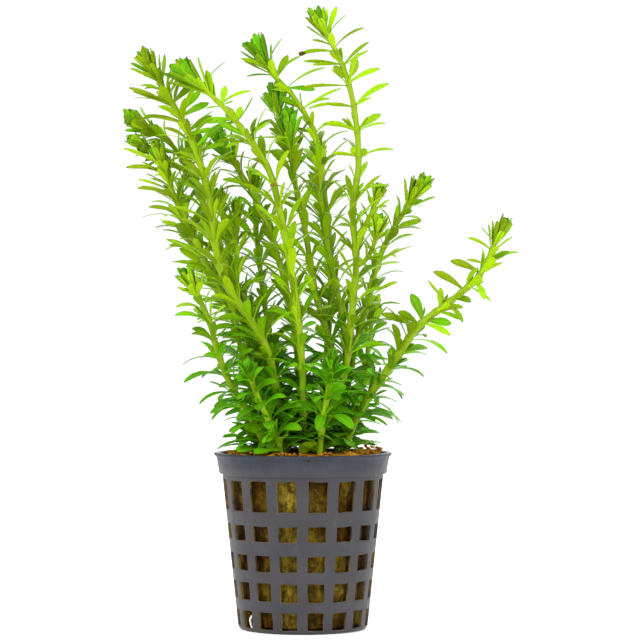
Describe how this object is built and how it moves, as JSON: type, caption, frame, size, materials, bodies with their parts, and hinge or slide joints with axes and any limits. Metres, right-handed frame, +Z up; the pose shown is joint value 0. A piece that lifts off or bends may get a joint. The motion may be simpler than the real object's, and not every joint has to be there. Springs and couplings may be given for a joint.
{
  "type": "rotala aquarium plant in a net pot",
  "caption": "Bunch of slender leafy aquarium stems rooted in a rock wool plug that fills a tapered, slotted net pot with a flared lip.",
  "frame": {"origin": "Centre of the underside of the net pot, on the surface that it stands on.", "axes": "+Z up along the axis of the pot. The pictured front faces -Y, and the lone stem that leans far out points to +X."},
  "size_m": [0.1126, 0.0648, 0.1747],
  "materials": {
    "pot_plastic": "matte injection-moulded plastic, dark blue-grey, with a faint sheen",
    "rock_wool": "damp fibrous mineral wool, olive brown",
    "plant": "living leaf and stem, satin, partly translucent"
  },
  "bodies": {
    "root": {"net_pot": "pot_plastic", "rock_wool": "rock_wool", "side_shoot_centre": "plant", "side_shoot_left": "plant", "side_shoot_right_high": "plant", "side_shoot_right_low": "plant", "stem_back_left": "plant", "stem_back_low": "plant", "stem_back_right": "plant", "stem_back_tall": "plant", "stem_centre_back": "plant", "stem_centre_front": "plant", "stem_far_right": "plant", "stem_front_left": "plant", "stem_front_low": "plant", "stem_left_back": "plant", "stem_left_big": "plant", "stem_left_high": "plant", "stem_left_low": "plant", "stem_left_outer": "plant", "stem_middle_back": "plant", "stem_right": "plant", "stem_tall_middle": "plant", "stem_tall_right": "plant", "stem_thin_back": "plant", "stem_thin_front": "plant"}
  },
  "joints": []
}
